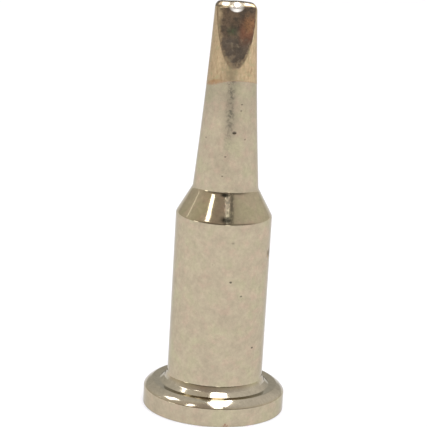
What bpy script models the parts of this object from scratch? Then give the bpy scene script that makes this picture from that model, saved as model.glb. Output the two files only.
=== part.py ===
"""Soldering iron tip: one turned and plated copper piece with a chisel end.

It stands on its flange, with its axis on +Z and the centre of the flange's underside
at the origin. A blind socket for the heater opens downwards. The barrel rises from the
flange to a conical shoulder, and a slim taper carries the chisel, whose two flats face
-Y and +Y. All lengths are in metres.
"""

import math

import bmesh
import bpy
from mathutils import Vector

# Socket for the heater
SOCKET_DIAMETER = 0.0064
SOCKET_WALL = 0.00105
SOCKET_MOUTH_CHAMFER = 0.0003
SOCKET_END_BELOW_SHOULDER = 0.0003
DRILL_POINT_ANGLE = math.radians(118)

# Flange
RIM_HEIGHT = 0.0016
RIM_CROWN_WIDTH = 0.0012
RIM_CROWN_RISE = 0.0006
FLANGE_LEDGE_WIDTH = 0.0001
FLANGE_UNDERSIDE_ROUNDING = 0.00015

# Barrel and shoulder
BARREL_FOOT_FILLET = 0.00075
BARREL_LENGTH = 0.01555
SHOULDER_LENGTH = 0.0024
SHOULDER_EDGE_ROUNDING = 0.0005

# Taper
NECK_DIAMETER = 0.0058
NECK_FILLET = 0.0004
TAPER_LENGTH = 0.01645
TAPER_HOLLOW = 0.00008
END_DIAMETER = 0.0036
END_CORNER_ROUNDING = 0.0005

# Chisel
CHISEL_EDGE_THICKNESS = 0.0008
CHISEL_FLAT_ANGLE = math.radians(17)
CHISEL_EDGE_ROUNDING = 0.0005

# Fineness of the turned surface
STEPS_AROUND = 72
ARC_STEP = math.radians(18)
CROWN_STEPS = 6
TAPER_STEPS = 6
SHARP_ANGLE = math.radians(35)

# The cutter stands this far past whatever it cuts
CUTTER_MARGIN = 0.001

# Points of the turned mesh that lie closer than this are one point
MERGE_DISTANCE = 1e-7

# Nickel plating, a warm grey, in linear values
PLATING_COLOUR = (0.52, 0.44, 0.31, 1.0)
PLATING_ROUGHNESS = 0.28

# Sizes that follow from those above
SOCKET_RADIUS = SOCKET_DIAMETER / 2
BARREL_RADIUS = SOCKET_RADIUS + SOCKET_WALL
LEDGE_RADIUS = BARREL_RADIUS + BARREL_FOOT_FILLET + FLANGE_LEDGE_WIDTH
FLANGE_RADIUS = LEDGE_RADIUS + RIM_CROWN_WIDTH
FLANGE_HEIGHT = RIM_HEIGHT + RIM_CROWN_RISE
NECK_RADIUS = NECK_DIAMETER / 2
END_RADIUS = END_DIAMETER / 2
SHOULDER_FOOT = FLANGE_HEIGHT + BARREL_LENGTH
NECK_HEIGHT = SHOULDER_FOOT + SHOULDER_LENGTH
TIP_HEIGHT = NECK_HEIGHT + TAPER_LENGTH
SOCKET_END = SHOULDER_FOOT - SOCKET_END_BELOW_SHOULDER
DRILL_POINT_HEIGHT = SOCKET_END + SOCKET_RADIUS / math.tan(DRILL_POINT_ANGLE / 2)


def clear_scene():
    for item in list(bpy.data.objects):
        bpy.data.objects.remove(item)


def rounded(corners):
    """The outline through (x, z, radius) corners, each bent into an arc of its radius."""
    outline = []
    last = len(corners) - 1
    for index, (x, z, radius) in enumerate(corners):
        corner = Vector((x, z))
        if radius == 0 or index in (0, last):
            outline.append(corner)
            continue
        back = (Vector(corners[index - 1][:2]) - corner).normalized()
        ahead = (Vector(corners[index + 1][:2]) - corner).normalized()
        turn = math.pi - back.angle(ahead)
        centre = corner + (back + ahead).normalized() * (radius / math.cos(turn / 2))
        run = radius * math.tan(turn / 2)
        first_spoke = (corner + back * run - centre).normalized()
        last_spoke = (corner + ahead * run - centre).normalized()
        pieces = max(2, math.ceil(turn / ARC_STEP))
        for piece in range(pieces + 1):
            spoke = first_spoke.slerp(last_spoke, piece / pieces)
            outline.append(centre + spoke * radius)
    return outline


def taper_radius(share):
    """Radius of the taper at a share of its length, with its sides slightly hollow."""
    straight = NECK_RADIUS + (END_RADIUS - NECK_RADIUS) * share
    return straight - TAPER_HOLLOW * 4 * share * (1 - share)


def rim_crown():
    """The flange's rounded upper edge, a quarter ellipse from the rim in to the ledge."""
    points = []
    for step in range(CROWN_STEPS + 1):
        angle = math.pi / 2 * step / CROWN_STEPS
        across = LEDGE_RADIUS + RIM_CROWN_WIDTH * math.cos(angle)
        points.append((across, RIM_HEIGHT + RIM_CROWN_RISE * math.sin(angle), 0))
    return points


def turning_outline():
    """Half section of the tip before the flats are cut: down the socket, then up outside."""
    mouth_radius = SOCKET_RADIUS + SOCKET_MOUTH_CHAMFER
    corners = [
        (0, DRILL_POINT_HEIGHT, 0),
        (SOCKET_RADIUS, SOCKET_END, 0),
        (SOCKET_RADIUS, SOCKET_MOUTH_CHAMFER, 0),
        (mouth_radius, 0, 0),
        (FLANGE_RADIUS, 0, FLANGE_UNDERSIDE_ROUNDING),
        *rim_crown(),
        (BARREL_RADIUS, FLANGE_HEIGHT, BARREL_FOOT_FILLET),
        (BARREL_RADIUS, SHOULDER_FOOT, SHOULDER_EDGE_ROUNDING),
        (NECK_RADIUS, NECK_HEIGHT, NECK_FILLET),
    ]
    for step in range(1, TAPER_STEPS):
        share = step / TAPER_STEPS
        corners.append((taper_radius(share), NECK_HEIGHT + TAPER_LENGTH * share, 0))
    corners.append((END_RADIUS, TIP_HEIGHT, END_CORNER_ROUNDING))
    corners.append((0, TIP_HEIGHT, 0))
    return rounded(corners)


def turned_mesh(name, outline):
    """A closed mesh of the outline turned once about the Z axis."""
    shape = bmesh.new()
    ring = [shape.verts.new((point.x, 0, point.y)) for point in outline]
    edges = [shape.edges.new(pair) for pair in zip(ring, ring[1:])]
    bmesh.ops.spin(
        shape,
        geom=ring + edges,
        cent=(0, 0, 0),
        axis=(0, 0, 1),
        angle=2 * math.pi,
        steps=STEPS_AROUND,
        use_merge=True,
    )
    bmesh.ops.remove_doubles(shape, verts=shape.verts, dist=MERGE_DISTANCE)
    bmesh.ops.recalc_face_normals(shape, faces=shape.faces)
    mesh = bpy.data.meshes.new(name)
    shape.to_mesh(mesh)
    shape.free()
    return mesh


def blade_outline():
    """Half of the blade seen from the side, as (thickness, height) points from its foot.

    It widens downwards at the flats' angle until it clears the flange, and from there it
    goes straight down. At the top it passes the tip, as wide as the land on the edge.
    """
    clear_width = FLANGE_RADIUS + CUTTER_MARGIN
    half_edge = CHISEL_EDGE_THICKNESS / 2
    flat_foot = TIP_HEIGHT - (clear_width - half_edge) / math.tan(CHISEL_FLAT_ANGLE)
    outline = rounded([
        (clear_width, -CUTTER_MARGIN, 0),
        (clear_width, flat_foot, 0),
        (half_edge, TIP_HEIGHT, CHISEL_EDGE_ROUNDING),
        (0, TIP_HEIGHT, 0),
    ])
    outline[-1] = Vector((outline[-2].x, TIP_HEIGHT + CUTTER_MARGIN))
    return outline


def blade_mesh(name, outline):
    """The blade's section, mirrored across the axis and drawn out along X."""
    half_width = FLANGE_RADIUS + CUTTER_MARGIN
    section = [(point.x, point.y) for point in outline]
    section += [(-y, z) for y, z in reversed(section)]
    shape = bmesh.new()
    face = shape.faces.new([shape.verts.new((-half_width, y, z)) for y, z in section])
    drawn = bmesh.ops.extrude_face_region(shape, geom=[face])
    moved = [item for item in drawn["geom"] if isinstance(item, bmesh.types.BMVert)]
    bmesh.ops.translate(shape, verts=moved, vec=(2 * half_width, 0, 0))
    bmesh.ops.recalc_face_normals(shape, faces=shape.faces)
    mesh = bpy.data.meshes.new(name)
    shape.to_mesh(mesh)
    shape.free()
    return mesh


def plating_material():
    material = bpy.data.materials.new("nickel_plating")
    material.use_nodes = True
    surface = material.node_tree.nodes["Principled BSDF"]
    surface.inputs["Base Color"].default_value = PLATING_COLOUR
    surface.inputs["Metallic"].default_value = 1.0
    surface.inputs["Roughness"].default_value = PLATING_ROUGHNESS
    material.diffuse_color = PLATING_COLOUR
    return material


def add_object(name, mesh):
    item = bpy.data.objects.new(name, mesh)
    bpy.context.scene.collection.objects.link(item)
    return item


def build_blade_cutter():
    """The wedge that the turned piece is trimmed to, which leaves the two flats."""
    cutter = add_object("chisel_cutter", blade_mesh("chisel_cutter", blade_outline()))
    cutter.hide_render = True
    cutter.display_type = "WIRE"
    return cutter


def build_tip():
    tip = add_object("soldering_tip", turned_mesh("soldering_tip", turning_outline()))
    tip.data.materials.append(plating_material())
    tip.data.shade_smooth()
    tip.data.set_sharp_from_angle(angle=SHARP_ANGLE)
    flats = tip.modifiers.new("chisel_flats", "BOOLEAN")
    flats.operation = "INTERSECT"
    flats.solver = "EXACT"
    flats.object = build_blade_cutter()
    return tip


clear_scene()
build_tip()
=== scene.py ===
"""Looks of the soldering iron tip: its plating, its tinned chisel, the camera and the light.

The tip stands on a plain pale floor, with its axis on +Z and the centre of its flange's
underside at the origin. Sizes of the tip and its features are in millimetres, and those
of the studio are in metres.
"""

import math

import bpy
import numpy as np
from mathutils import Matrix, Vector


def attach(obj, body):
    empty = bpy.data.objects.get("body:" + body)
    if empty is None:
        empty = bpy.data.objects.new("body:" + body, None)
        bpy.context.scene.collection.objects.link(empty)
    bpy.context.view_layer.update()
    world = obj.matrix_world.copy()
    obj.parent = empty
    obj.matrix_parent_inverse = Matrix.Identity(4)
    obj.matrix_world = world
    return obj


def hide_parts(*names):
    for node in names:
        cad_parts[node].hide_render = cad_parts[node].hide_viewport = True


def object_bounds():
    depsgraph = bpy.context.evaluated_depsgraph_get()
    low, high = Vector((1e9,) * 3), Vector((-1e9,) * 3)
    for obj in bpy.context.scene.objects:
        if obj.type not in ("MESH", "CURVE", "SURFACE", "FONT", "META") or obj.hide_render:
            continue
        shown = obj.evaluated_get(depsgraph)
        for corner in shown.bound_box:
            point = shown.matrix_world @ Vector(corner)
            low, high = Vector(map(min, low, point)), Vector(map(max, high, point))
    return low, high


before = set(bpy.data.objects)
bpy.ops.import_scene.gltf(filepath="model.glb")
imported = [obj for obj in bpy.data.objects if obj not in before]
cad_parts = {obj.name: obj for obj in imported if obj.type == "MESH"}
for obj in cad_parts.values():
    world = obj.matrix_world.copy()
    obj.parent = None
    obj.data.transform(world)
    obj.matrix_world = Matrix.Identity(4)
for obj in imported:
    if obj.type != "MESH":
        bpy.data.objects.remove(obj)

MM = 0.001
NODE = "soldering_tip"
CAD_LOW, CAD_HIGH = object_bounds()

# Overall sizes, from the frame
FLANGE_RADIUS = CAD_HIGH.x / MM
TIP_HEIGHT = CAD_HIGH.z / MM

# Socket for the heater
SOCKET_RADIUS = 3.2
SOCKET_MOUTH_CHAMFER = 0.3
SOCKET_MOUTH_ROUNDING = 0.05
SOCKET_END = 17.45
SOCKET_END_ROUNDING = 0.1
DRILL_POINT_HEIGHT = 19.37

# Flange. Its upper edge is two slopes that end in a narrow ledge, and a short slope leads from
# there to the barrel. Each corner is a radius from the axis, a height and a rounding.
RIM_CORNER = (FLANGE_RADIUS, 1.66, 0.25)
CROWN_CORNER = (6.06, 1.99, 1.2)
LEDGE_CORNER = (5.55, 2.3, 0.25)
STEP_CORNER = (4.9, 2.23, 0.08)
FOOT_CORNER = (4.48, 2.57, 0.15)
FLANGE_UNDERSIDE_ROUNDING = 0.15

# Barrel and shoulder
BARREL_RADIUS = 4.25
BARREL_FOOT = 3.05
BARREL_FOOT_FILLET = 0.5
SHOULDER_FOOT = 17.75
SHOULDER_LENGTH = 2.4
SHOULDER_EDGE_ROUNDING = 0.6
NECK_HEIGHT = SHOULDER_FOOT + SHOULDER_LENGTH

# Taper and chisel
NECK_RADIUS = 2.9
NECK_FILLET = 0.8
TAPER_HOLLOW = 0.08
END_RADIUS = 1.8
END_CORNER_ROUNDING = 0.6
CHISEL_EDGE_THICKNESS = 0.8
CHISEL_FLAT_ANGLE = math.radians(17)
CHISEL_NOSE_ROUNDING = 0.5
CHISEL_SIDE_ROUNDING = 0.06

# Wear that has lowered the edge's right corner
WEAR_START = 0.3
WEAR_DEPTH = 0.2

# The bead of solder that has set just under the edge, on the front flat. It is flattened, and
# leans down and out to the front by the tilt.
BEAD_CENTRE = (0.0, -0.42, 36.17)
BEAD_RADII = (0.57, 0.5, 0.25)
BEAD_TILT = math.radians(45)
BEAD_BLEND = 0.16

# The nick in the barrel, placed in degrees round from the front. Only points this near the
# barrel's surface, or outside it, are pressed in.
NICK_DEGREES = 67
NICK_HEIGHT = 14.6
NICK_HALF_WIDTH = 0.28
NICK_HALF_HEIGHT = 0.55
NICK_DEPTH = 0.07
NICK_SKIN = 0.001

# Fineness of the mesh. The chisel's rings are level from its foot up to its heart, and from
# there they close over the end.
COLUMNS = 256
ARC_STEP = math.radians(6)
LEAST_ARC_PIECES = 3
SOCKET_STEP = 0.8
LENGTHWAYS_STEP = 0.2
TAPER_STEP = 1
CHISEL_FOOT = 30.2
CHISEL_STEP = 0.075
CHISEL_HEART = 35.3
END_RINGS = 26
SEARCH_REACH = 3 * NECK_RADIUS
SEARCH_STEPS = 26


def rounded(corners):
    """The outline through (x, z, radius) corners, each bent into an arc of its radius."""
    outline = []
    last = len(corners) - 1
    for index, (x, z, radius) in enumerate(corners):
        corner = Vector((x, z))
        if radius == 0 or index in (0, last):
            outline.append(corner)
            continue
        back = (Vector(corners[index - 1][:2]) - corner).normalized()
        ahead = (Vector(corners[index + 1][:2]) - corner).normalized()
        turn = math.pi - back.angle(ahead)
        centre = corner + (back + ahead).normalized() * (radius / math.cos(turn / 2))
        run = radius * math.tan(turn / 2)
        first_spoke = (corner + back * run - centre).normalized()
        last_spoke = (corner + ahead * run - centre).normalized()
        pieces = max(LEAST_ARC_PIECES, math.ceil(turn / ARC_STEP))
        for piece in range(pieces + 1):
            spoke = first_spoke.slerp(last_spoke, piece / pieces)
            outline.append(centre + spoke * radius)
    return outline


def taper_radius(height):
    """Radius of the taper at a height, with its sides slightly hollow."""
    share = (height - NECK_HEIGHT) / (TIP_HEIGHT - NECK_HEIGHT)
    straight = NECK_RADIUS + (END_RADIUS - NECK_RADIUS) * share
    return straight - TAPER_HOLLOW * 4 * share * (1 - share)


def flat_distance(height):
    """Distance of the chisel's flats from the axis at a height."""
    return CHISEL_EDGE_THICKNESS / 2 + (TIP_HEIGHT - height) * math.tan(CHISEL_FLAT_ANGLE)


def socket_outline():
    """From the drilled end down the socket to the foot of its mouth."""
    return rounded([
        (0, DRILL_POINT_HEIGHT, 0),
        (SOCKET_RADIUS, SOCKET_END, SOCKET_END_ROUNDING),
        (SOCKET_RADIUS, SOCKET_MOUTH_CHAMFER, SOCKET_MOUTH_ROUNDING),
        (SOCKET_RADIUS + SOCKET_MOUTH_CHAMFER, 0, 0),
    ])


def outer_outline():
    """From the socket's mouth along the underside and up to the foot of the chisel."""
    corners = [
        (SOCKET_RADIUS + SOCKET_MOUTH_CHAMFER, 0, 0),
        (FLANGE_RADIUS, 0, FLANGE_UNDERSIDE_ROUNDING),
        RIM_CORNER,
        CROWN_CORNER,
        LEDGE_CORNER,
        STEP_CORNER,
        FOOT_CORNER,
        (BARREL_RADIUS, BARREL_FOOT, BARREL_FOOT_FILLET),
        (BARREL_RADIUS, SHOULDER_FOOT, SHOULDER_EDGE_ROUNDING),
        (NECK_RADIUS, NECK_HEIGHT, NECK_FILLET),
    ]
    height = NECK_HEIGHT + TAPER_STEP
    while height < CHISEL_FOOT:
        corners.append((taper_radius(height), height, 0))
        height += TAPER_STEP
    corners.append((taper_radius(CHISEL_FOOT), CHISEL_FOOT, 0))
    return rounded(corners)


def divided(outline, step):
    """The outline with its long stretches divided into pieces no longer than the step."""
    points = [outline[0]]
    for start, end in zip(outline, outline[1:]):
        pieces = max(1, math.ceil((end - start).length / step))
        points += [start.lerp(end, piece / pieces) for piece in range(1, pieces + 1)]
    return points


def column_angles():
    """The columns' angles round the axis, from the front towards the right."""
    return np.arange(COLUMNS) * 2 * math.pi / COLUMNS


def turned_rings(outline):
    """One ring of points about Z for each point of the outline."""
    angles = column_angles()
    circle = np.stack([np.sin(angles), -np.cos(angles)], axis=-1)
    rings = []
    for point in outline:
        height = np.full((COLUMNS, 1), point.y)
        rings.append(np.hstack([circle * point.x, height]))
    return rings


def round_corner(first, second, radius):
    """Distance to the corner of two solids' overlap, bent to a radius."""
    inside = np.minimum(np.maximum(first, second) + radius, 0)
    beyond = np.hypot(np.maximum(first + radius, 0), np.maximum(second + radius, 0))
    return inside + beyond - radius


def round_union(first, second, blend):
    """Distance to two solids joined, with a fillet of about the blend's size."""
    share = np.clip(0.5 + 0.5 * (second - first) / blend, 0, 1)
    return second * (1 - share) + first * share - blend * share * (1 - share)


def bead_distance(points):
    """Distance from points to the bead of solder, a tilted ellipsoid."""
    aside, out, up = np.moveaxis(points - np.array(BEAD_CENTRE), -1, 0)
    lengthways = out * math.cos(BEAD_TILT) + up * math.sin(BEAD_TILT)
    thick = up * math.cos(BEAD_TILT) - out * math.sin(BEAD_TILT)
    offset = np.stack([aside, lengthways, thick], axis=-1) / np.array(BEAD_RADII)
    return (np.linalg.norm(offset, axis=-1) - 1) * min(BEAD_RADII)


def chisel_distance(points):
    """Distance from points to the surface of the chisel, below zero inside it."""
    x, y, z = np.moveaxis(points, -1, 0)
    worn = WEAR_DEPTH * np.clip((x - WEAR_START) / (END_RADIUS - WEAR_START), 0, 1) ** 2
    above = z - TIP_HEIGHT + worn
    side = np.hypot(x, y) - taper_radius(z)
    flat = (np.abs(y) - flat_distance(z)) * math.cos(CHISEL_FLAT_ANGLE)
    turned = round_corner(side, above, END_CORNER_ROUNDING)
    blade = round_corner(flat, above, CHISEL_NOSE_ROUNDING)
    chisel = round_corner(turned, blade, CHISEL_SIDE_ROUNDING)
    return round_union(chisel, bead_distance(points), BEAD_BLEND)


def chisel_hits(start, directions):
    """Where rays from a point inside the chisel come out of it."""
    near = np.zeros(len(directions))
    far = np.full(len(directions), SEARCH_REACH)
    for _ in range(SEARCH_STEPS):
        middle = (near + far) / 2
        inside = chisel_distance(start + directions * middle[:, None]) < 0
        near = np.where(inside, middle, near)
        far = np.where(inside, far, middle)
    return start + directions * far[:, None]


def chisel_rings():
    """Rings round the chisel up to its heart, and from there over its end."""
    angles = column_angles()
    rings = []
    levels = math.ceil((CHISEL_HEART - CHISEL_FOOT) / CHISEL_STEP)
    for level in range(1, levels + 1):
        height = CHISEL_FOOT + (CHISEL_HEART - CHISEL_FOOT) * level / levels
        wide = taper_radius(height)
        thick = min(wide, flat_distance(height))
        across = np.stack([wide * np.sin(angles), -thick * np.cos(angles)], axis=-1)
        across /= np.linalg.norm(across, axis=-1, keepdims=True)
        level_rays = np.hstack([across, np.zeros((COLUMNS, 1))])
        rings.append(chisel_hits(np.array([0, 0, height]), level_rays))
    heart = np.array([0, 0, CHISEL_HEART])
    wide = taper_radius(CHISEL_HEART)
    thick = flat_distance(CHISEL_HEART)
    for step in range(1, END_RINGS):
        lift = math.pi / 2 * step / END_RINGS
        rays = np.stack([
            wide * np.sin(angles) * math.cos(lift),
            -thick * np.cos(angles) * math.cos(lift),
            np.full(COLUMNS, (TIP_HEIGHT - CHISEL_HEART) * math.sin(lift)),
        ], axis=-1)
        rays /= np.linalg.norm(rays, axis=-1, keepdims=True)
        rings.append(chisel_hits(heart, rays))
    return rings


def nick_barrel(points):
    """Presses the nick into points given in millimetres."""
    turn = np.arctan2(points[:, 0], -points[:, 1])
    radius = np.hypot(points[:, 0], points[:, 1])
    across = (turn - math.radians(NICK_DEGREES)) * radius / NICK_HALF_WIDTH
    along = (points[:, 2] - NICK_HEIGHT) / NICK_HALF_HEIGHT
    pressed = NICK_DEPTH * np.clip(1 - across ** 2 - along ** 2, 0, 1)
    outside = radius > BARREL_RADIUS - NICK_SKIN
    points[outside, :2] *= (1 - pressed[outside] / radius[outside])[:, None]


def build_tip():
    """The whole tip as one closed mesh, from the drilled end of the socket to the edge."""
    inner = turned_rings(divided(socket_outline(), SOCKET_STEP)[1:])
    outer = turned_rings(divided(outer_outline(), LENGTHWAYS_STEP)[1:])
    rings = np.array(inner + outer + chisel_rings())
    top = chisel_hits(np.array([0, 0, CHISEL_HEART]), np.array([[0.0, 0.0, 1.0]]))
    points = np.vstack([rings.reshape(-1, 3), [[0, 0, DRILL_POINT_HEIGHT]], top])
    nick_barrel(points)
    drill_point = len(points) - 2
    end_point = len(points) - 1
    faces = []
    for ring in range(len(rings) - 1):
        for column in range(COLUMNS):
            here = ring * COLUMNS + column
            beside = ring * COLUMNS + (column + 1) % COLUMNS
            faces.append((here, beside, beside + COLUMNS, here + COLUMNS))
    last_ring = (len(rings) - 1) * COLUMNS
    for column in range(COLUMNS):
        beside = (column + 1) % COLUMNS
        faces.append((drill_point, beside, column))
        faces.append((last_ring + column, last_ring + beside, end_point))
    mesh = bpy.data.meshes.new("plated_tip")
    mesh.from_pydata((points * MM).tolist(), [], faces)
    mesh.shade_smooth()
    socket = np.zeros(len(points), np.float32)
    socket[:len(inner) * COLUMNS] = 1
    socket[drill_point] = 1
    mesh.attributes.new("socket", "FLOAT", "POINT").data.foreach_set("value", socket)
    tip = bpy.data.objects.new("plated_tip", mesh)
    bpy.context.scene.collection.objects.link(tip)
    return tip


class Graph:
    """Adds nodes to one node tree and joins them. Lengths on the tip are in millimetres."""

    def __init__(self, tree):
        self.tree = tree
        self.tree.nodes.clear()

    def add(self, kind, **settings):
        node = self.tree.nodes.new(kind)
        for name, value in settings.items():
            setattr(node, name, value)
        return node

    def feed(self, socket, value):
        """Gives a socket its value, which is another node's output or a constant."""
        if isinstance(value, bpy.types.NodeSocket):
            self.tree.links.new(value, socket)
        elif value is not None:
            socket.default_value = value

    def math(self, operation, first, second=None, third=None):
        node = self.add("ShaderNodeMath", operation=operation)
        for socket, value in zip(node.inputs, (first, second, third)):
            self.feed(socket, value)
        return node.outputs[0]

    def fade(self, value, start, end):
        """Runs smoothly from 0 at the start value to 1 at the end value."""
        node = self.add("ShaderNodeMapRange", interpolation_type="SMOOTHSTEP")
        self.feed(node.inputs["Value"], value)
        self.feed(node.inputs["From Min"], start)
        self.feed(node.inputs["From Max"], end)
        return node.outputs["Result"]

    def mix(self, share, first, second):
        """The first colour where the share is 0, and the second where it is 1."""
        node = self.add("ShaderNodeMix", data_type="RGBA")
        self.feed(node.inputs["Factor"], share)
        self.feed(node.inputs["A"], first)
        self.feed(node.inputs["B"], second)
        return node.outputs["Result"]

    def blend(self, share, first, second):
        """The first number where the share is 0, and the second where it is 1."""
        node = self.add("ShaderNodeMix", data_type="FLOAT")
        self.feed(node.inputs["Factor"], share)
        self.feed(node.inputs["A"], first)
        self.feed(node.inputs["B"], second)
        return node.outputs["Result"]

    def scaled(self, colour, factor):
        node = self.add("ShaderNodeVectorMath", operation="SCALE")
        self.feed(node.inputs[0], colour[:3] if isinstance(colour, tuple) else colour)
        self.feed(node.inputs["Scale"], factor)
        return node.outputs["Vector"]

    def product(self, first, *others):
        """The product of several shares."""
        for other in others:
            first = self.math("MULTIPLY", first, other)
        return first

    def varied(self, value, spread):
        """A factor about 1 that follows a noise and has this spread."""
        return self.math("MULTIPLY_ADD", value, spread, 1 - spread / 2)

    def relief(self, *layers):
        """Height of the surface, from noises that each have a depth in millimetres."""
        height = 0.0
        for noise, depth in layers:
            height = self.math("MULTIPLY_ADD", noise, depth, height)
        return height

    def noise(self, place, lumps):
        """Noise from 0 to 1, whose lumps have a size in millimetres, a detail and a roughness."""
        size, detail, roughness = lumps
        node = self.add("ShaderNodeTexNoise", noise_dimensions="3D")
        self.feed(node.inputs["Vector"], place)
        self.feed(node.inputs["Scale"], 1 / size)
        self.feed(node.inputs["Detail"], detail)
        self.feed(node.inputs["Roughness"], roughness)
        return node.outputs["Fac"]

    def stretched(self, place, factors):
        """A place whose three coordinates are each multiplied by a factor."""
        node = self.add("ShaderNodeVectorMath", operation="MULTIPLY")
        self.feed(node.inputs[0], place)
        self.feed(node.inputs[1], factors)
        return node.outputs["Vector"]


# Finishes, in linear values
PLATING = (0.466, 0.4, 0.287, 1)
PLATING_PINK = (0.5, 0.402, 0.296, 1)
PLATING_OLIVE = (0.442, 0.4, 0.27, 1)
PLATING_COOL = (0.52, 0.47, 0.385, 1)
# This dark colour is a smear on the haze and the scratch; on the worn line and the shoulder's
# marks it is partly a painted dark reflection of the camera and the room in front
SMEAR_AND_REFLECTION = (0.11, 0.1, 0.078, 1)
# Pits are this dark, and so are the shoulder's blotches and blots, which are partly a painted dark
# reflection
PIT_AND_REFLECTION_DARK = (0.06, 0.055, 0.04, 1)
COPPER = (0.3, 0.15, 0.09, 1)
TINNED = (0.59, 0.445, 0.275, 1)
TINNED_DARK = (0.44, 0.315, 0.19, 1)
TINNED_PALE = (0.7, 0.56, 0.37, 1)
TINNED_OLIVE = (0.5, 0.42, 0.25, 1)
TINNED_DULL = (0.27, 0.22, 0.14, 1)
BURNT_LINE = (0.36, 0.21, 0.105, 1)
OXIDE = (0.17, 0.12, 0.08, 1)
# This dark oxide colour is also the painted shade along the nose's ridge
OXIDE_DARK_AND_NOSE_SHADE = (0.085, 0.066, 0.05, 1)
OXIDE_GREY = (0.12, 0.1, 0.08, 1)
FLAT_GREEN = (0.085, 0.1, 0.055, 1)
FLAT_RED = (0.2, 0.095, 0.06, 1)
FLAT_ORANGE = (0.3, 0.16, 0.08, 1)
NOSE_SOLDER = (0.62, 0.55, 0.45, 1)
BEAD_SOLDER = (0.95, 0.92, 0.87, 1)
SOCKET_DARK = (0.2, 0.12, 0.07, 1)
SOCKET_LIGHT = (0.36, 0.22, 0.13, 1)

# Where the metal is seen at a glancing angle, it reflects this share of the light
EDGE_TINT = (0.74, 0.735, 0.71, 1)

# The names below end in what their values are. LUMPS are a noise's size in millimetres, its
# detail and its roughness. A RANGE is where something starts and where it is full. A BAND is
# its middle and how far it reaches to either side. A SHARE is how far a colour covers what is
# under it. Pairs of SHARES, ROUGHNESSES, TONES, WIDTHS and SOFTNESSES are blended from the
# first to the second. Heights, distances and depths are in millimetres.

# A spot is at its full strength within this share of its radius
SPOT_CORE = 0.3

# How the borders of the solder and of the burnt flats waver
WAVER_LUMPS = (0.5, 3, 0.5)
WAVER_UPWARD = 0.14
WAVER_SIDEWAYS = 0.8
WAVER_INWARD = 0.35

# Streaks are drawn out along the axis, because heights count for only this share in them
STREAK_SHRINK = 0.2

# The bright solder's lower border on the nose: its height at the axis and its rise rightwards
NOSE_FOOT = 36.17
NOSE_TILT = 0.1


class Layer:
    """A finish: its colour, how metallic and rough it is, and its relief in millimetres."""

    def __init__(self, colour, metallic, roughness, relief):
        self.colour = colour
        self.metallic = metallic
        self.roughness = roughness
        self.relief = relief


def over(graph, share, below, above):
    """One layer laid over another, as far as the share says."""
    return Layer(
        graph.mix(share, below.colour, above.colour),
        graph.blend(share, below.metallic, above.metallic),
        graph.blend(share, below.roughness, above.roughness),
        graph.blend(share, below.relief, above.relief),
    )


class Place:
    """Where on the tip a point of the surface is, in millimetres from the frame's origin."""

    def __init__(self, graph):
        coordinates = graph.add("ShaderNodeTexCoord")
        self.point = graph.stretched(coordinates.outputs["Object"], (1 / MM, 1 / MM, 1 / MM))
        split = graph.add("ShaderNodeSeparateXYZ")
        graph.feed(split.inputs["Vector"], self.point)
        self.x, self.y, self.z = split.outputs
        self.streaked = graph.stretched(self.point, (1, 1, STREAK_SHRINK))

        # Distance from the axis, turn from the front, and distance round from the front
        level = graph.stretched(self.point, (1, 1, 0))
        length = graph.add("ShaderNodeVectorMath", operation="LENGTH")
        graph.feed(length.inputs[0], level)
        self.radius = length.outputs["Value"]
        self.turn = graph.math("ARCTAN2", self.x, graph.math("MULTIPLY", self.y, -1.0))
        self.around = graph.math("MULTIPLY", self.turn, self.radius)

        # Uneven measures, along which the coatings' borders run
        self.waver = graph.math("SUBTRACT", graph.noise(self.point, WAVER_LUMPS), 0.5)
        self.uneven_x = graph.math("MULTIPLY_ADD", self.waver, WAVER_SIDEWAYS, self.x)
        self.uneven_z = graph.math("MULTIPLY_ADD", self.waver, WAVER_UPWARD, self.z)
        self.nose_height = graph.math("MULTIPLY_ADD", self.x, -NOSE_TILT, self.uneven_z)

        # How far the surface stands out from the plane of the nearer flat
        below_end = graph.math("SUBTRACT", TIP_HEIGHT, self.z)
        flat = graph.math("MULTIPLY_ADD", below_end, math.tan(CHISEL_FLAT_ANGLE),
                          CHISEL_EDGE_THICKNESS / 2)
        self.off_flat = graph.math("SUBTRACT", graph.math("ABSOLUTE", self.y), flat)


def near(graph, value, centre, reach):
    """1 at the centre value, fading to 0 at the reach on either side of it."""
    offset = graph.math("ABSOLUTE", graph.math("SUBTRACT", value, centre))
    return graph.fade(offset, reach, 0)


def spot(graph, place, degrees, height, radius, flatness=1.0):
    """1 in a spot on the surface, round or flattened lengthways, and 0 about it."""
    turn = graph.math("SUBTRACT", place.turn, math.radians(degrees))
    across = graph.math("MULTIPLY", turn, place.radius)
    along = graph.math("MULTIPLY", graph.math("SUBTRACT", place.z, height), flatness)
    squares = graph.math("ADD", graph.product(across, across), graph.product(along, along))
    return graph.fade(graph.math("SQRT", squares), radius, radius * SPOT_CORE)


# Nickel plate
CLOUD_LUMPS = (0.9, 3, 0.6)
DRIFT_LUMPS = (1.9, 3, 0.6)
TINT_RANGE = (0.46, 0.68)
MOTTLE_LUMPS = (0.32, 2, 0.7)
MOTTLE_SPREAD = 0.36
SHADE_LUMPS = (0.8, 2, 0.5)
SHADE_SPREAD = 0.28
BROAD_LUMPS = (1.9, 1, 0.5)
BROAD_SPREAD = 0.24
PEEL_LUMPS = (0.4, 2, 0.5)
PEEL_DEPTH = 0.003
GRAIN_LUMPS = (0.1, 1, 0.5)
GRAIN_DEPTH = 0.0004
PLATING_ROUGHNESSES = (0.06, 0.14)

# The flange's upper side is cooler
FLANGE_TOP_START_RANGE = (1.6, 1.9)
FLANGE_TOP_END_RANGE = (3.0, 2.6)
FLANGE_TOP_SHARE = 0.85


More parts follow.
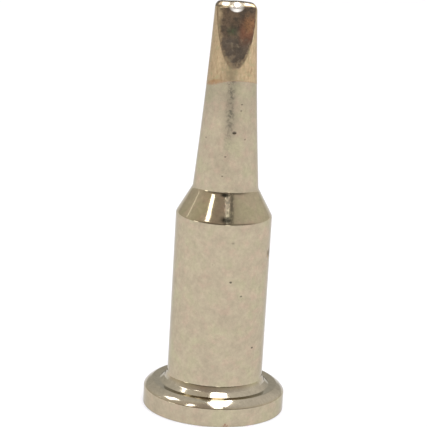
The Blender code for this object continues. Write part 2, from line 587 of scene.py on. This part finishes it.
def plating_layer(graph, place):
    """Nickel plate: warm grey, faintly clouded and mottled, with a slight orange peel."""
    cloud = graph.noise(place.point, CLOUD_LUMPS)
    drift = graph.noise(place.point, DRIFT_LUMPS)
    colour = graph.mix(graph.fade(cloud, *TINT_RANGE), PLATING, PLATING_PINK)
    colour = graph.mix(graph.fade(drift, *TINT_RANGE), colour, PLATING_OLIVE)
    on_flange = graph.product(graph.fade(place.z, *FLANGE_TOP_START_RANGE),
                              graph.fade(place.z, *FLANGE_TOP_END_RANGE))
    colour = graph.mix(graph.product(on_flange, FLANGE_TOP_SHARE), colour, PLATING_COOL)
    tone = graph.product(
        graph.varied(graph.noise(place.point, MOTTLE_LUMPS), MOTTLE_SPREAD),
        graph.varied(graph.noise(place.point, SHADE_LUMPS), SHADE_SPREAD),
        graph.varied(graph.noise(place.point, BROAD_LUMPS), BROAD_SPREAD),
    )
    relief = graph.relief(
        (graph.noise(place.point, PEEL_LUMPS), PEEL_DEPTH),
        (graph.noise(place.point, GRAIN_LUMPS), GRAIN_DEPTH),
    )
    roughness = graph.blend(cloud, *PLATING_ROUGHNESSES)
    return Layer(graph.scaled(colour, tone), 1.0, roughness, relief)


# The line of worn plating down the front of the taper, at this distance round from the front,
# which is also a painted dark reflection of the camera in front. Its middle wanders. It has a
# speckled core, a thin veil about the core and stray specks farther out.
WEAR_AND_REFLECTION_LINE = -0.18
WANDER_LUMPS = (0.8, 2, 0.5)
WANDER_WIDTH = 0.3
WEAR_AND_REFLECTION_HEIGHT_RANGE = (22, 27.5)
NECK_RANGE = (NECK_HEIGHT, NECK_HEIGHT + 0.5)
SPECKLE_LUMPS = (0.2, 3, 0.7)
COARSE_LUMPS = (0.45, 3, 0.6)
CORE_BAND = (0.02, 0.7)
CORE_SPECKLE_RANGE = (0.2, 0.6)
CORE_COARSE_RANGE = (0.25, 0.6)
CORE_SHARE = 0.92
VEIL_BAND = (0.1, 0.95)
VEIL_SHARE = 0.42
STRAY_BAND = (0, 1.6)
STRAY_SPECKLE_RANGE = (0.6, 0.68)
STRAY_SHARE = 0.4

# The haze under the tinning, on the front and deeper on its left
HAZE_HEIGHT_RANGE = (26.0, 28.8)
HAZE_FRONT_RANGE = (0.5, -0.5)
HAZE_LEFT_RANGE = (-0.2, -1.2)
HAZE_SHARES = (0.1, 0.22)


def wear_and_reflection_colour(graph, place, speckle, colour):
    """The plating's colour with the worn line, partly a painted reflection of the camera, and the
    haze over it.
    """
    drift = graph.math("SUBTRACT", graph.noise(place.streaked, WANDER_LUMPS), 0.5)
    wandered = graph.math("MULTIPLY_ADD", drift, WANDER_WIDTH, place.around)
    offset = graph.math("SUBTRACT", wandered, WEAR_AND_REFLECTION_LINE)
    upward = graph.fade(place.z, *WEAR_AND_REFLECTION_HEIGHT_RANGE)
    on_taper = graph.fade(place.z, *NECK_RANGE)
    coarse = graph.noise(place.point, COARSE_LUMPS)
    core = graph.product(near(graph, offset, *CORE_BAND), graph.fade(speckle, *CORE_SPECKLE_RANGE),
                         graph.fade(coarse, *CORE_COARSE_RANGE), upward, CORE_SHARE)
    veil = graph.product(near(graph, offset, *VEIL_BAND), upward, VEIL_SHARE)
    stray = graph.product(near(graph, offset, *STRAY_BAND),
                          graph.fade(speckle, *STRAY_SPECKLE_RANGE), on_taper, STRAY_SHARE)
    # The worn line's stain is partly wear and partly a painted dark reflection of the camera
    stain_and_reflection = graph.math("MAXIMUM", graph.math("MAXIMUM", core, veil), stray)
    colour = graph.mix(graph.product(stain_and_reflection, on_taper), colour, SMEAR_AND_REFLECTION)
    deepness = graph.blend(graph.fade(place.x, *HAZE_LEFT_RANGE), *HAZE_SHARES)
    haze = graph.product(graph.fade(place.z, *HAZE_HEIGHT_RANGE),
                         graph.fade(place.y, *HAZE_FRONT_RANGE), deepness)
    return graph.mix(haze, colour, SMEAR_AND_REFLECTION)


# On the shoulder the worn line is a matt streak, with dark blotches along its right side and
# a dark blot at each end. Its dark specks, blotches and blots are partly wear and partly a
# painted dark reflection of the camera and the dark room in front. Each blot is a band round
# from the front, a band of heights, and a range of the speckle.
SHOULDER_FOOT_RANGE = (SHOULDER_FOOT, SHOULDER_FOOT + 0.15)
SHOULDER_TOP_RANGE = (NECK_HEIGHT, NECK_HEIGHT + 0.15)
MATT_BAND = (-0.03, 0.46)
MATT_ROUGHNESS = 0.34
MATT_SPECKLE_RANGE = (0.62, 0.4)
MATT_SHARE = 0.75
MATT_DEPTH = 0.035
BLOTCH_BAND = (0.34, 0.32)
BLOTCH_SPECKLE_RANGE = (0.38, 0.52)
BLOTCH_SHARE = 0.7
BLOTS = [
    ((-0.1, 0.8), (18.1, 0.4), (0.3, 0.45)),
    ((-0.27, 0.55), (20.05, 0.24), (0.25, 0.4)),
]
BLOT_STRENGTH = 1.4


def shoulder_dirt_and_reflection(graph, place, speckle, on_shoulder):
    """How dark the shoulder is beside its matt streak and at the streak's ends, from wear and a
    painted dark reflection.
    """
    dirt_and_reflection = graph.product(near(graph, place.around, *BLOTCH_BAND),
                         graph.fade(speckle, *BLOTCH_SPECKLE_RANGE), on_shoulder, BLOTCH_SHARE)
    for around_band, height_band, speckle_range in BLOTS:
        blot = graph.product(near(graph, place.around, *around_band),
                             near(graph, place.z, *height_band),
                             graph.fade(speckle, *speckle_range), BLOT_STRENGTH)
        dirt_and_reflection = graph.math("MAXIMUM", dirt_and_reflection, blot)
    return graph.math("MINIMUM", dirt_and_reflection, 1.0)


# Pits in the plating: degrees round from the front, height, radius and how dark they are
PITS = [
    (7.7, 12.6, 0.18, 0.85),
    (21.8, 11.3, 0.16, 0.7),
    (42.9, 6.4, 0.19, 0.85),
    (6.3, 25.5, 0.26, 0.85),
    (7.7, 16.1, 0.22, 0.3),
    (-15, 14.1, 0.1, 0.3),
    (-9, 23.4, 0.13, 0.45),
    (-12, 21.7, 0.12, 0.4),
    (20.5, 27.95, 0.13, 0.5),
    (19, 27.4, 0.11, 0.45),
    (29.6, 24.9, 0.16, 0.4),
    (-55.3, 24.8, 0.15, 0.45),
    (118, 9.3, 0.13, 0.7),
    (-140, 12.0, 0.14, 0.6),
    (170, 24.2, 0.14, 0.8),
]
PIT_FLATNESS = 1.6
PIT_DEPTH = 0.015

# Other marks, as spots: degrees round from the front, height, radius and flatness. The nick is
# brown, with a dark scratch in it, and copper shows through at the flange's lower edge.
NICK_SPOT = (NICK_DEGREES, NICK_HEIGHT, NICK_HALF_HEIGHT)
NICK_SHARE = 0.6
SCRATCH_SPOT = (NICK_DEGREES + 4, NICK_HEIGHT + 0.1, 0.3, 0.5)
SCRATCH_LUMPS = (0.2, 2, 0.5)
SCRATCH_RANGE = (0.3, 0.5)
SCRATCH_SHARE = 0.85
COPPER_SPOT = (6.0, 0.12, 0.35)
COPPER_SPECKLE_RANGE = (0.4, 0.6)


def wear_and_reflection_layer(graph, place, plating):
    """The plating where it is worn, stained, pitted and nicked, and darkened along its worn line
    by a painted dark reflection of the camera and the room in front.
    """
    speckle = graph.noise(place.point, SPECKLE_LUMPS)
    colour = wear_and_reflection_colour(graph, place, speckle, plating.colour)
    on_shoulder = graph.math("SUBTRACT", graph.fade(place.z, *SHOULDER_FOOT_RANGE),
                             graph.fade(place.z, *SHOULDER_TOP_RANGE))
    matt = graph.product(near(graph, place.around, *MATT_BAND), on_shoulder)
    # Dark specks in the matt streak, partly wear and partly a painted dark reflection of the
    # camera
    darkening = graph.product(matt, graph.fade(speckle, *MATT_SPECKLE_RANGE), MATT_SHARE)
    colour = graph.mix(darkening, colour, SMEAR_AND_REFLECTION)

    nick = spot(graph, place, *NICK_SPOT)
    colour = graph.mix(graph.product(nick, NICK_SHARE), colour, TINNED_DARK)
    scored = graph.fade(graph.noise(place.streaked, SCRATCH_LUMPS), *SCRATCH_RANGE)
    scratch = graph.product(spot(graph, place, *SCRATCH_SPOT), scored, SCRATCH_SHARE)
    colour = graph.mix(scratch, colour, SMEAR_AND_REFLECTION)
    copper = spot(graph, place, *COPPER_SPOT)
    bared = graph.product(copper, graph.fade(speckle, *COPPER_SPECKLE_RANGE))
    colour = graph.mix(bared, colour, COPPER)

    pitted = 0.0
    for degrees, height, radius, darkness in PITS:
        pit = graph.product(spot(graph, place, degrees, height, radius, PIT_FLATNESS), darkness)
        pitted = graph.math("MAXIMUM", pitted, pit)
    # The shoulder's blotches and blots, partly wear and partly a painted dark reflection
    dirt_and_reflection = shoulder_dirt_and_reflection(graph, place, speckle, on_shoulder)
    colour = graph.mix(graph.math("MAXIMUM", pitted, dirt_and_reflection), colour, PIT_AND_REFLECTION_DARK)
    relief = graph.math("MULTIPLY_ADD", pitted, -PIT_DEPTH, plating.relief)
    relief = graph.math("MULTIPLY_ADD", graph.product(matt, speckle), MATT_DEPTH, relief)
    return Layer(colour, 1.0, graph.blend(matt, plating.roughness, MATT_ROUGHNESS), relief)


# Wiped solder. It is dull below the front flat, and darker to the left.
STREAK_LUMPS = (0.2, 3, 0.6)
STREAK_DEPTH = 0.008
FINE_STREAK_LUMPS = (0.08, 2, 0.5)
FINE_STREAK_DEPTH = 0.004
DARK_STREAK_RANGE = (0.5, 0.3)
PALE_STREAK_RANGE = (0.55, 0.75)
OLIVE_LUMPS = (0.45, 3, 0.6)
OLIVE_RANGE = (0.48, 0.66)
DULL_ACROSS_BAND = (-0.15, 0.9)
DULL_HEIGHT_RANGE = (31.6, 30.6)
DULL_FRONT_RANGE = (0, -0.5)
DULL_SHARE = 0.75
DARKER_LEFT_RANGE = (0, -1.1)
DARKER_LEFT_TONES = (0.97, 0.78)
SPATTER_LUMPS = (0.22, 2, 0.6)
SPATTER_SPREAD = 0.5
TINNED_ROUGHNESSES = (0.26, 0.4)


def tinned_layer(graph, place):
    """Solder wiped thinly up the taper, faintly streaked along it."""
    streak = graph.noise(place.streaked, STREAK_LUMPS)
    fine = graph.noise(place.streaked, FINE_STREAK_LUMPS)
    blotch = graph.noise(place.point, OLIVE_LUMPS)
    colour = graph.mix(graph.fade(streak, *DARK_STREAK_RANGE), TINNED, TINNED_DARK)
    colour = graph.mix(graph.fade(streak, *PALE_STREAK_RANGE), colour, TINNED_PALE)
    colour = graph.mix(graph.fade(blotch, *OLIVE_RANGE), colour, TINNED_OLIVE)
    below_flat = graph.product(near(graph, place.x, *DULL_ACROSS_BAND),
                               graph.fade(place.z, *DULL_HEIGHT_RANGE),
                               graph.fade(place.y, *DULL_FRONT_RANGE), DULL_SHARE)
    colour = graph.mix(below_flat, colour, TINNED_DULL)
    leftward = graph.fade(place.x, *DARKER_LEFT_RANGE)
    colour = graph.scaled(colour, graph.blend(leftward, *DARKER_LEFT_TONES))
    spatter = graph.noise(place.point, SPATTER_LUMPS)
    colour = graph.scaled(colour, graph.varied(spatter, SPATTER_SPREAD))
    relief = graph.relief((streak, STREAK_DEPTH), (fine, FINE_STREAK_DEPTH))
    return Layer(colour, 1.0, graph.blend(blotch, *TINNED_ROUGHNESSES), relief)


# The solder's lower border lies in a slightly tilted plane: its height at the axis, and its
# rises rightwards and backwards. It is sharp, and has a burnt line along it, which is broader
# and stronger in a patch on the left. The patch's band is in radians round from the front.
TINNED_FOOT = 29.3
TINNED_RISE_RIGHT = 0.03
TINNED_RISE_BACK = -0.3
TINNED_BORDER_RANGE = (-0.04, 0.04)
PATCH_TURN_BAND = (-0.89, 0.75)
PATCH_LUMPS = (0.5, 2, 0.5)
PATCH_RANGE = (0.25, 0.45)
LINE_WIDTHS = (0.07, 0.34)
LINE_SHARES = (0.3, 0.75)
LINE_RANGE = (1, 0.3)


def tin_taper(graph, place, finish):
    """The finish with the wiped solder over it, and the burnt line at the solder's foot."""
    foot = graph.math("MULTIPLY_ADD", place.x, TINNED_RISE_RIGHT, TINNED_FOOT)
    foot = graph.math("MULTIPLY_ADD", place.y, TINNED_RISE_BACK, foot)
    above_foot = graph.math("SUBTRACT", place.uneven_z, foot)
    tinned = graph.fade(above_foot, *TINNED_BORDER_RANGE)
    finish = over(graph, tinned, finish, tinned_layer(graph, place))
    patch = graph.product(near(graph, place.turn, *PATCH_TURN_BAND),
                          graph.fade(graph.noise(place.point, PATCH_LUMPS), *PATCH_RANGE))
    width = graph.blend(patch, *LINE_WIDTHS)
    off_line = graph.math("DIVIDE", graph.math("ABSOLUTE", above_foot), width)
    line = graph.product(graph.fade(off_line, *LINE_RANGE), graph.blend(patch, *LINE_SHARES))
    finish.colour = graph.mix(line, finish.colour, BURNT_LINE)
    return finish


# Burnt flux and oxide, and where its grey low end, and the green, red and orange patches over it,
# lie across the flats and in height
BURNT_LUMPS = (0.5, 4, 0.65)
BURNT_DEPTH = 0.05
BURNT_RANGE = (0.4, 0.62)
FINE_BURNT_LUMPS = (0.17, 2, 0.6)
FINE_BURNT_DEPTH = 0.012
FINE_BURNT_SPREAD = 0.6
BROAD_BURNT_LUMPS = (0.9, 2, 0.5)
BROAD_BURNT_SPREAD = 0.9
LEAST_BURNT_TONE = 0.24
GREY_HEIGHT_RANGE = (34.0, 33.0)
GREY_SHARE = 0.6
GREEN_ACROSS_BAND = (-0.35, 0.6)
GREEN_HEIGHT_BAND = (34.1, 0.55)
GREEN_RANGE = (0.3, 0.55)
RED_ACROSS_RANGE = (0.1, 0.6)
RED_HEIGHT_BAND = (34.0, 1.5)
RED_RANGE = (0.3, 0.5)
ORANGE_ACROSS_RANGE = (0.4, 1.0)
ORANGE_HEIGHT_BAND = (34.7, 1.2)
ORANGE_RANGE = (0.3, 0.5)
FLECK_LUMPS = (0.35, 2, 0.5)
FLECK_RANGE = (0.55, 0.7)
FLECK_SHARE = 0.16
OXIDE_METALLIC = 0.5
OXIDE_ROUGHNESSES = (0.3, 0.5)


def oxide_layer(graph, place):
    """Burnt flux and oxide on the flats: brown, with grey patches, and green and red patches over
    it.
    """
    mottle = graph.noise(place.point, BURNT_LUMPS)
    fine = graph.noise(place.point, FINE_BURNT_LUMPS)
    colour = graph.mix(graph.fade(mottle, *BURNT_RANGE), OXIDE, OXIDE_DARK_AND_NOSE_SHADE)
    low = graph.fade(place.z, *GREY_HEIGHT_RANGE)
    colour = graph.mix(graph.product(low, GREY_SHARE), colour, OXIDE_GREY)
    green = graph.product(near(graph, place.x, *GREEN_ACROSS_BAND),
                          near(graph, place.z, *GREEN_HEIGHT_BAND),
                          graph.fade(fine, *GREEN_RANGE))
    colour = graph.mix(green, colour, FLAT_GREEN)
    red = graph.product(graph.fade(place.x, *RED_ACROSS_RANGE),
                        near(graph, place.z, *RED_HEIGHT_BAND),
                        graph.fade(mottle, *RED_RANGE))
    colour = graph.mix(red, colour, FLAT_RED)
    orange = graph.product(graph.fade(place.x, *ORANGE_ACROSS_RANGE),
                           near(graph, place.z, *ORANGE_HEIGHT_BAND),
                           graph.fade(fine, *ORANGE_RANGE))
    colour = graph.mix(orange, colour, FLAT_ORANGE)
    tone = graph.math("MULTIPLY_ADD", graph.noise(place.point, BROAD_BURNT_LUMPS),
                      BROAD_BURNT_SPREAD, LEAST_BURNT_TONE)
    tone = graph.math("MULTIPLY_ADD", fine, FINE_BURNT_SPREAD, tone)
    colour = graph.scaled(colour, tone)
    fleck = graph.fade(graph.noise(place.point, FLECK_LUMPS), *FLECK_RANGE)
    colour = graph.mix(graph.product(fleck, FLECK_SHARE, low), colour, TINNED_PALE)
    relief = graph.relief((mottle, BURNT_DEPTH), (fine, FINE_BURNT_DEPTH))
    roughness = graph.blend(mottle, *OXIDE_ROUGHNESSES)
    return Layer(colour, OXIDE_METALLIC, roughness, relief)


# The burnt area on the flats: it starts where the surface lies in a flat's plane, above the
# flat's lowest point, and its rim is sharp on the right and soft on the left and low down.
# A brown line runs just inside the flat's border. The border is the taper's outline, narrower
# by the inset.
FLAT_APEX_RANGE = (30.85, 31.15)
IN_FLAT_RANGE = (-0.06, -0.02)
BELOW_NOSE_RANGE = (NOSE_FOOT + 0.05, NOSE_FOOT - 0.1)
BORDER_INSET = 0.03
RIGHT_RANGE = (-0.4, 0.2)
RIM_SOFTNESSES = (0.14, 0.05)
LOW_RANGE = (33, 31)
LOW_SOFTNESS = 0.14
BURNT_LEFT_RANGE = (-1.6, -1.1)
FLAT_METALLIC = 0.45
BORDER_LINE_RANGE = (0.16, 0.02)
BORDER_LINE_SHARE = 0.45


def burn_flats(graph, place, finish):
    """The finish with oxide on the flats, right up to their border or fading out."""
    on_flat = graph.product(graph.fade(place.off_flat, *IN_FLAT_RANGE),
                            graph.fade(place.z, *FLAT_APEX_RANGE),
                            graph.fade(place.nose_height, *BELOW_NOSE_RANGE))
    above_neck = graph.math("SUBTRACT", place.z, NECK_HEIGHT)
    up_taper = graph.math("DIVIDE", above_neck, TIP_HEIGHT - NECK_HEIGHT)
    outline = graph.math("MULTIPLY_ADD", up_taper, END_RADIUS - NECK_RADIUS,
                         NECK_RADIUS - BORDER_INSET)
    from_border = graph.math("SUBTRACT", outline, place.radius)
    softness = graph.blend(graph.fade(place.x, *RIGHT_RANGE), *RIM_SOFTNESSES)
    low = graph.fade(place.z, *LOW_RANGE)
    softness = graph.math("MULTIPLY_ADD", low, LOW_SOFTNESS, softness)
    ragged = graph.math("MULTIPLY_ADD", place.waver, WAVER_INWARD, from_border)
    inside = graph.fade(graph.math("DIVIDE", ragged, softness), 0, 1)
    burnt = graph.product(on_flat, graph.fade(place.uneven_x, *BURNT_LEFT_RANGE), inside)
    finish.metallic = graph.blend(on_flat, finish.metallic, FLAT_METALLIC)
    finish = over(graph, burnt, finish, oxide_layer(graph, place))
    line = graph.product(graph.fade(from_border, *BORDER_LINE_RANGE), on_flat, BORDER_LINE_SHARE)
    finish.colour = graph.mix(line, finish.colour, OXIDE)
    return finish


# Bright solder along the nose and on the bead. The nose's ridge, close to the chisel's
# middle plane, is darkened as painted shade for the dim surroundings that it reflects, and its
# left end is darkened too.
SOLDER_LUMPS = (0.4, 2, 0.5)
SOLDER_TINT_RANGE = (0.5, 0.8)
SOLDER_ROUGHNESS = 0.25
SOLDER_DEPTH = 0.006
ON_NOSE_RANGE = (NOSE_FOOT + 0.05, NOSE_FOOT + 0.15)
BRIGHT_NOSE_RANGE = (-1.35, -1.1)
DARK_NOSE_END_RANGE = (-1.1, -1.35)
RIDGE_SHADE_RANGE = (0.38, 0.28)
NOSE_DARKENING_SHARE = 0.82
BEAD_OUT_RANGE = (0.01, 0.05)
BEAD_FRONT_RANGE = (0.1, -0.1)
BEAD_ACROSS_BAND = (BEAD_CENTRE[0], 1.0)


def solder_layer(graph, place, colour):
    """Bright set solder, slightly rippled."""
    ripple = graph.noise(place.point, SOLDER_LUMPS)
    tint = graph.mix(graph.fade(ripple, *SOLDER_TINT_RANGE), colour, TINNED_PALE)
    return Layer(tint, 1.0, SOLDER_ROUGHNESS, graph.relief((ripple, SOLDER_DEPTH)))


def solder_nose(graph, place, finish):
    """The finish with bright solder along the nose, and on the bead that stands out."""
    on_nose = graph.fade(place.nose_height, *ON_NOSE_RANGE)
    bright = graph.product(on_nose, graph.fade(place.uneven_x, *BRIGHT_NOSE_RANGE))
    finish = over(graph, bright, finish, solder_layer(graph, place, NOSE_SOLDER))
    # Painted shade along the nose's ridge, and a darker left end of the nose
    ridge_shade = graph.fade(graph.math("ABSOLUTE", place.y), *RIDGE_SHADE_RANGE)
    darkening = graph.math("MAXIMUM", ridge_shade, graph.fade(place.uneven_x, *DARK_NOSE_END_RANGE))
    darkening = graph.product(darkening, on_nose, NOSE_DARKENING_SHARE)
    finish.colour = graph.mix(darkening, finish.colour, OXIDE_DARK_AND_NOSE_SHADE)
    on_bead = graph.product(graph.fade(place.off_flat, *BEAD_OUT_RANGE),
                            graph.fade(place.y, *BEAD_FRONT_RANGE),
                            near(graph, place.x, *BEAD_ACROSS_BAND))
    return over(graph, on_bead, finish, solder_layer(graph, place, BEAD_SOLDER))


# Bare copper in the socket, with rings that are stretched round it and thin along it
RING_STRETCH = (0.15, 0.15, 6)
RING_LUMPS = (1.0, 2, 0.5)
RING_DEPTH = 0.01
SOCKET_METALLIC = 0.9
SOCKET_ROUGHNESS = 0.45


def socket_layer(graph, place):
    """Bare drilled copper, dulled by heat, with fine rings from the drill."""
    rings = graph.noise(graph.stretched(place.point, RING_STRETCH), RING_LUMPS)
    colour = graph.mix(rings, SOCKET_DARK, SOCKET_LIGHT)
    return Layer(colour, SOCKET_METALLIC, SOCKET_ROUGHNESS, graph.relief((rings, RING_DEPTH)))


def tip_material():
    material = bpy.data.materials.new("plated_copper")
    material.use_nodes = True
    graph = Graph(material.node_tree)
    place = Place(graph)
    finish = wear_and_reflection_layer(graph, place, plating_layer(graph, place))
    finish = tin_taper(graph, place, finish)
    finish = burn_flats(graph, place, finish)
    finish = solder_nose(graph, place, finish)
    in_socket = graph.add("ShaderNodeAttribute", attribute_name="socket")
    finish = over(graph, in_socket.outputs["Fac"], finish, socket_layer(graph, place))

    bump = graph.add("ShaderNodeBump")
    graph.feed(bump.inputs["Height"], finish.relief)
    graph.feed(bump.inputs["Distance"], MM)
    surface = graph.add("ShaderNodeBsdfPrincipled")
    graph.feed(surface.inputs["Base Color"], finish.colour)
    graph.feed(surface.inputs["Metallic"], finish.metallic)
    graph.feed(surface.inputs["Roughness"], finish.roughness)
    graph.feed(surface.inputs["Specular Tint"], EDGE_TINT)
    graph.feed(surface.inputs["Normal"], bump.outputs["Normal"])
    output = graph.add("ShaderNodeOutputMaterial")
    graph.feed(output.inputs["Surface"], surface.outputs["BSDF"])
    return material


# Studio, in metres
FLOOR_REACH = 4.0
FLOOR_COLOUR = (0.4, 0.4, 0.4, 1)

# Light that brings the floor up to white where it is seen as the background. The lamps reach
# less of the far floor, so it gains more, blended in over this range of distances.
FLOOR_LIFT = (0.61, 0.61, 0.65, 1)
FAR_FLOOR_LIFT = (0.87, 0.87, 0.87, 1)
FAR_FLOOR_RANGE = (0.25, 0.75)

# Degrees in a turn
FULL_TURN = 360
HALF_TURN = 180

# Surroundings: white paper round the horizon, the walls above it, by azimuth in degrees from
# the front, and a dark room low down in front
PAPER = (1.0, 1.0, 1.0, 1)
WALLS = [
    (-180, (0.57, 0.56, 0.52, 1)),
    (-110, (0.75, 0.72, 0.65, 1)),
    (-70, (0.68, 0.62, 0.53, 1)),
    (-25, (0.47, 0.41, 0.37, 1)),
    (10, (0.52, 0.48, 0.44, 1)),
    (45, (0.73, 0.69, 0.65, 1)),
    (80, (0.82, 0.79, 0.73, 1)),
    (130, (0.81, 0.78, 0.73, 1)),
    (165, (0.57, 0.56, 0.52, 1)),
]
DARK_ROOM = (0.12, 0.1, 0.08, 1)

# In degrees, the elevation at which the paper starts to give way, how far up it takes to do
# so, and the elevation at which the dark room has given way. The front fades in between the
# two azimuths.
PAPER_TOP_BEHIND = 3.0
PAPER_TOP_IN_FRONT = 5.0
PAPER_FADE = 3.0
ROOM_TOP = 36.0
FRONT_RANGE = (100, 35)


def build_floor():
    mesh = bpy.data.meshes.new("floor")
    reach = FLOOR_REACH
    corners = [(-reach, -reach, 0), (reach, -reach, 0), (reach, reach, 0), (-reach, reach, 0)]
    mesh.from_pydata(corners, [], [(0, 1, 2, 3)])
    floor = bpy.data.objects.new("floor", mesh)
    bpy.context.scene.collection.objects.link(floor)
    floor.data.materials.append(floor_material())


def seen_straight(graph):
    """1 for rays from the camera, a mirror or through glass, which show the background."""
    path = graph.add("ShaderNodeLightPath")
    seen = graph.math("MAXIMUM", path.outputs["Is Camera Ray"], path.outputs["Is Glossy Ray"])
    return graph.math("MAXIMUM", seen, path.outputs["Is Transmission Ray"])


def floor_material():
    material = bpy.data.materials.new("pale_floor")
    material.use_nodes = True
    graph = Graph(material.node_tree)
    paper = graph.add("ShaderNodeBsdfDiffuse")
    graph.feed(paper.inputs["Color"], FLOOR_COLOUR)
    place = graph.add("ShaderNodeTexCoord")
    away = graph.add("ShaderNodeVectorMath", operation="LENGTH")
    graph.feed(away.inputs[0], place.outputs["Object"])
    far = graph.fade(away.outputs["Value"], *FAR_FLOOR_RANGE)
    lift = graph.add("ShaderNodeEmission")
    graph.feed(lift.inputs["Color"], graph.mix(far, FLOOR_LIFT, FAR_FLOOR_LIFT))
    graph.feed(lift.inputs["Strength"], seen_straight(graph))
    lifted = graph.add("ShaderNodeAddShader")
    graph.feed(lifted.inputs[0], paper.outputs["BSDF"])
    graph.feed(lifted.inputs[1], lift.outputs["Emission"])
    output = graph.add("ShaderNodeOutputMaterial")
    graph.feed(output.inputs["Surface"], lifted.outputs["Shader"])
    return material


def build_world():
    """White paper round the horizon, pale walls above it, and a dark room low in front."""
    world = bpy.data.worlds.new("studio")
    bpy.context.scene.world = world
    world.use_nodes = True
    graph = Graph(world.node_tree)
    place = graph.add("ShaderNodeTexCoord")
    split = graph.add("ShaderNodeSeparateXYZ")
    graph.feed(split.inputs["Vector"], place.outputs["Generated"])
    radians = graph.math("ARCSINE", split.outputs["Z"])
    elevation = graph.math("MULTIPLY", radians, math.degrees(1))
    backwards = graph.math("MULTIPLY", split.outputs["Y"], -1.0)
    turned = graph.math("ARCTAN2", split.outputs["X"], backwards)
    azimuth = graph.math("MULTIPLY", turned, math.degrees(1))
    front = graph.fade(graph.math("ABSOLUTE", azimuth), *FRONT_RANGE)
    paper_top = graph.blend(front, PAPER_TOP_BEHIND, PAPER_TOP_IN_FRONT)
    wall_foot = graph.math("ADD", paper_top, PAPER_FADE)
    above_paper = graph.fade(elevation, paper_top, wall_foot)
    walls = graph.add("ShaderNodeValToRGB")
    from_back = graph.math("ADD", azimuth, HALF_TURN)
    graph.feed(walls.inputs["Fac"], graph.math("DIVIDE", from_back, FULL_TURN))
    stops = walls.color_ramp.elements
    stops.remove(stops[1])
    stops[0].color = WALLS[0][1]
    for degrees, colour in WALLS[1:]:
        stops.new((degrees + HALF_TURN) / FULL_TURN).color = colour
    low = graph.fade(elevation, ROOM_TOP, PAPER_TOP_IN_FRONT)
    wall = graph.mix(graph.product(low, front), walls.outputs["Color"], DARK_ROOM)
    colour = graph.mix(above_paper, PAPER, wall)
    light = graph.add("ShaderNodeBackground")
    graph.feed(light.inputs["Color"], colour)
    graph.feed(light.inputs["Strength"], 1.0)
    output = graph.add("ShaderNodeOutputWorld")
    graph.feed(output.inputs["Surface"], light.outputs["Background"])


# Lamps: name, azimuth and elevation in degrees, distance, width, height, level, and the way
# that the height points
UPRIGHT = (0, 0, 1)
BACKWARDS = (0, 1, 0)
LAMPS = [
    ("overhead_panel", 41, 81, 0.5, 0.17, 0.4, 5.0, BACKWARDS),
    ("front_window", 6, 58, 0.5, 0.1, 0.15, 4.0, UPRIGHT),
    ("front_lamp", 6, 5, 0.6, 0.11, 0.06, 1.5, UPRIGHT),
    ("left_window", -51, 45, 0.6, 0.088, 0.22, 3.5, UPRIGHT),
    ("left_lamp", -74, 6, 0.6, 0.12, 0.07, 1.9, UPRIGHT),
    ("side_window", -103, 48, 0.6, 0.15, 0.18, 3.0, UPRIGHT),
    ("side_strip", -109, 24, 0.6, 0.02, 0.1, 0.7, UPRIGHT),
]

# Watts per square metre that make a lamp's face as bright as the floor's white
FACE_POWER = 4


def add_lamp(name, azimuth, elevation, distance, width, height, level, upright):
    """A soft box that faces the tip. Azimuth runs from -Y towards +X, in degrees.

    Its height lies along the upright direction, as far as that can be. Its level is the
    brightness of its face, where 1 is the floor's white.
    """
    turn = math.radians(azimuth)
    lift = math.radians(elevation)
    aim = Vector((0, 0, TIP_HEIGHT * MM / 2))
    outward = Vector((
        math.sin(turn) * math.cos(lift),
        -math.cos(turn) * math.cos(lift),
        math.sin(lift),
    ))
    sideways = Vector(upright).cross(outward).normalized()
    lamp = bpy.data.lights.new(name, "AREA")
    lamp.shape = "RECTANGLE"
    lamp.size = width
    lamp.size_y = height
    lamp.energy = FACE_POWER * width * height * level
    holder = bpy.data.objects.new(name, lamp)
    axes = Matrix((sideways, outward.cross(sideways), outward)).transposed()
    holder.matrix_world = Matrix.Translation(aim + outward * distance) @ axes.to_4x4()
    bpy.context.scene.collection.objects.link(holder)


# Camera, with its distance and height in metres and its angles in degrees. It stands in
# front, a little to the viewer's left of the chisel's flats, and its roll tilts the picture.
FRAME_WIDTH = 427
FOCAL_PIXELS = 2000
SENSOR_WIDTH = 36
CAMERA_AZIMUTH = math.radians(-5)
CAMERA_DISTANCE = 0.171424
CAMERA_HEIGHT = 0.059614
CAMERA_YAW = math.radians(-0.309)
CAMERA_PITCH = math.radians(13.755)
CAMERA_ROLL = math.radians(3.345)
NEAREST_SEEN = 0.01


def build_camera():
    lens = bpy.data.cameras.new("camera")
    lens.sensor_width = SENSOR_WIDTH
    lens.lens = FOCAL_PIXELS * SENSOR_WIDTH / FRAME_WIDTH
    lens.clip_start = NEAREST_SEEN
    camera = bpy.data.objects.new("camera", lens)
    about_tip = Matrix.Rotation(CAMERA_AZIMUTH, 4, "Z")
    place = Matrix.Translation((0, -CAMERA_DISTANCE, CAMERA_HEIGHT))
    heading = Matrix.Rotation(-CAMERA_YAW, 4, "Z")
    nod = Matrix.Rotation(math.pi / 2 - CAMERA_PITCH, 4, "X")
    roll = Matrix.Rotation(CAMERA_ROLL, 4, "Z")
    camera.matrix_world = about_tip @ place @ heading @ nod @ roll
    bpy.context.scene.collection.objects.link(camera)
    bpy.context.scene.camera = camera


bpy.context.scene.view_settings.view_transform = "Standard"
build_camera()
build_world()
build_floor()
for settings in LAMPS:
    add_lamp(*settings)

tip = build_tip()
tip.data.materials.append(tip_material())
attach(tip, "root")
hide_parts(NODE)
